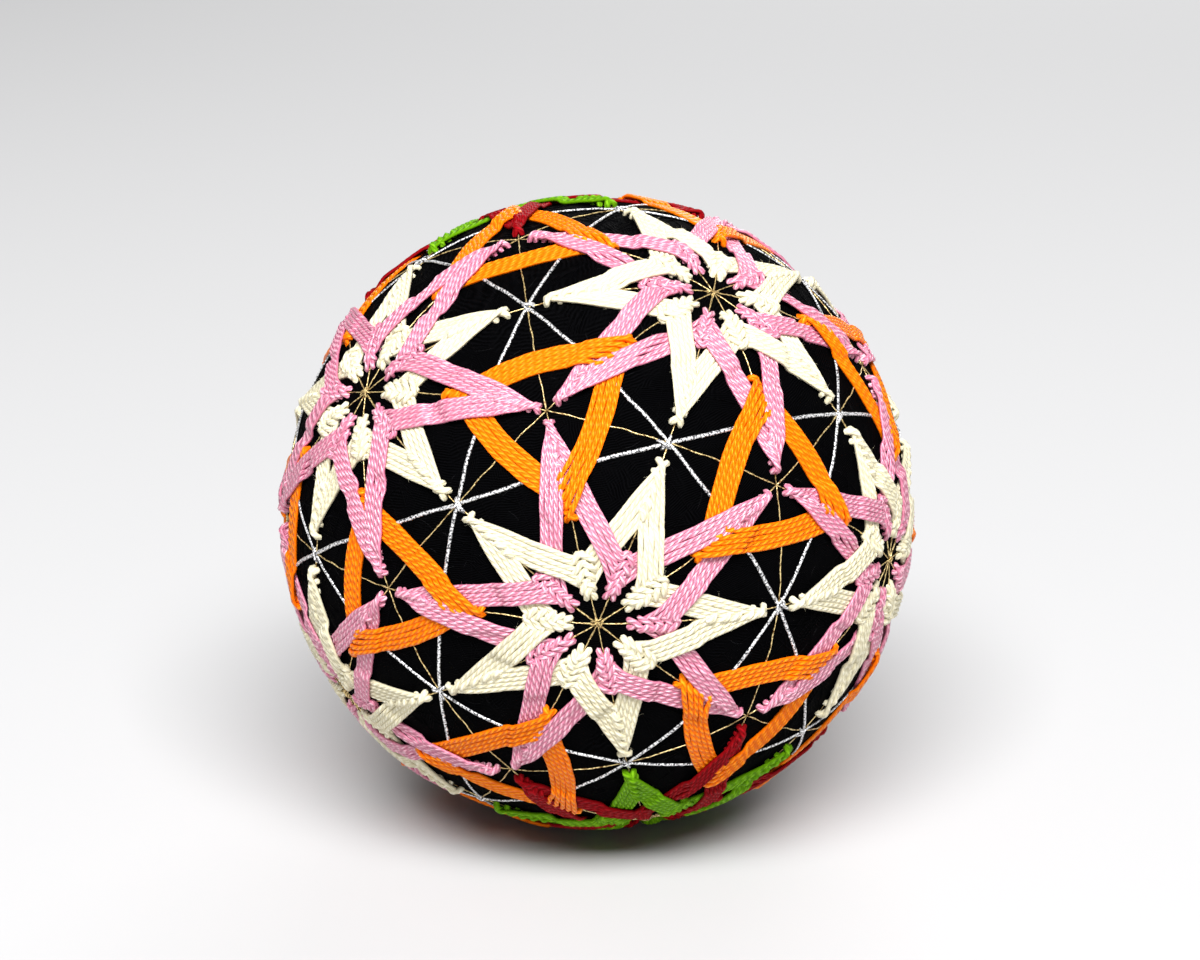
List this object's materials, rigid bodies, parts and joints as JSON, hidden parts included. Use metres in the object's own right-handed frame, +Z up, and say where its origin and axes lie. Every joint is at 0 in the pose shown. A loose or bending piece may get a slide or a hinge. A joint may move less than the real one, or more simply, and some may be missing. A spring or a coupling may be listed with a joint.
{
  "type": "temari ball",
  "caption": "Round thread-wound ball dressed in stitched bands of thread that weave into stars and triangles over black, resting on a small pressed flat.",
  "frame": {"origin": "on the surface the ball rests on, straight under the ball's middle", "axes": "+Z up, away from the resting face; +Y away from the viewer of the reference view, +X to their right"},
  "size_m": [0.0911, 0.0902, 0.0883],
  "materials": {
    "black_wrap": "matte fine wound thread",
    "cream_thread": "matte twisted cotton",
    "green_thread": "soft sheen twisted cotton",
    "pink_thread": "soft sheen twisted cotton",
    "crimson_thread": "soft sheen twisted cotton",
    "orange_thread": "glossy twisted cotton",
    "silver_thread": "braided metallic thread",
    "gold_thread": "fine metallic thread"
  },
  "bodies": {
    "root": {"ball": "black_wrap", "green_star_top": "green_thread", "crimson_star_top": "crimson_thread", "cream_star_upper_1": "cream_thread", "pink_star_upper_1": "pink_thread", "cream_star_upper_2": "cream_thread", "pink_star_upper_2": "pink_thread", "cream_star_upper_3": "cream_thread", "pink_star_upper_3": "pink_thread", "cream_star_upper_4": "cream_thread", "pink_star_upper_4": "pink_thread", "cream_star_upper_5": "cream_thread", "pink_star_upper_5": "pink_thread", "cream_star_lower_1": "cream_thread", "pink_star_lower_1": "pink_thread", "cream_star_lower_2": "cream_thread", "pink_star_lower_2": "pink_thread", "cream_star_lower_3": "cream_thread", "pink_star_lower_3": "pink_thread", "cream_star_lower_4": "cream_thread", "pink_star_lower_4": "pink_thread", "cream_star_lower_5": "cream_thread", "pink_star_lower_5": "pink_thread", "green_star_bottom": "green_thread", "crimson_star_bottom": "crimson_thread", "orange_triangle_1": "orange_thread", "orange_triangle_2": "orange_thread", "orange_triangle_3": "orange_thread", "orange_triangle_4": "orange_thread", "orange_triangle_5": "orange_thread", "orange_triangle_6": "orange_thread", "orange_triangle_7": "orange_thread", "orange_triangle_8": "orange_thread", "orange_triangle_9": "orange_thread", "orange_triangle_10": "orange_thread", "orange_triangle_11": "orange_thread", "orange_triangle_12": "orange_thread", "orange_triangle_13": "orange_thread", "orange_triangle_14": "orange_thread", "orange_triangle_15": "orange_thread", "orange_triangle_16": "orange_thread", "orange_triangle_17": "orange_thread", "orange_triangle_18": "orange_thread", "orange_triangle_19": "orange_thread", "orange_triangle_20": "orange_thread"}
  },
  "joints": []
}
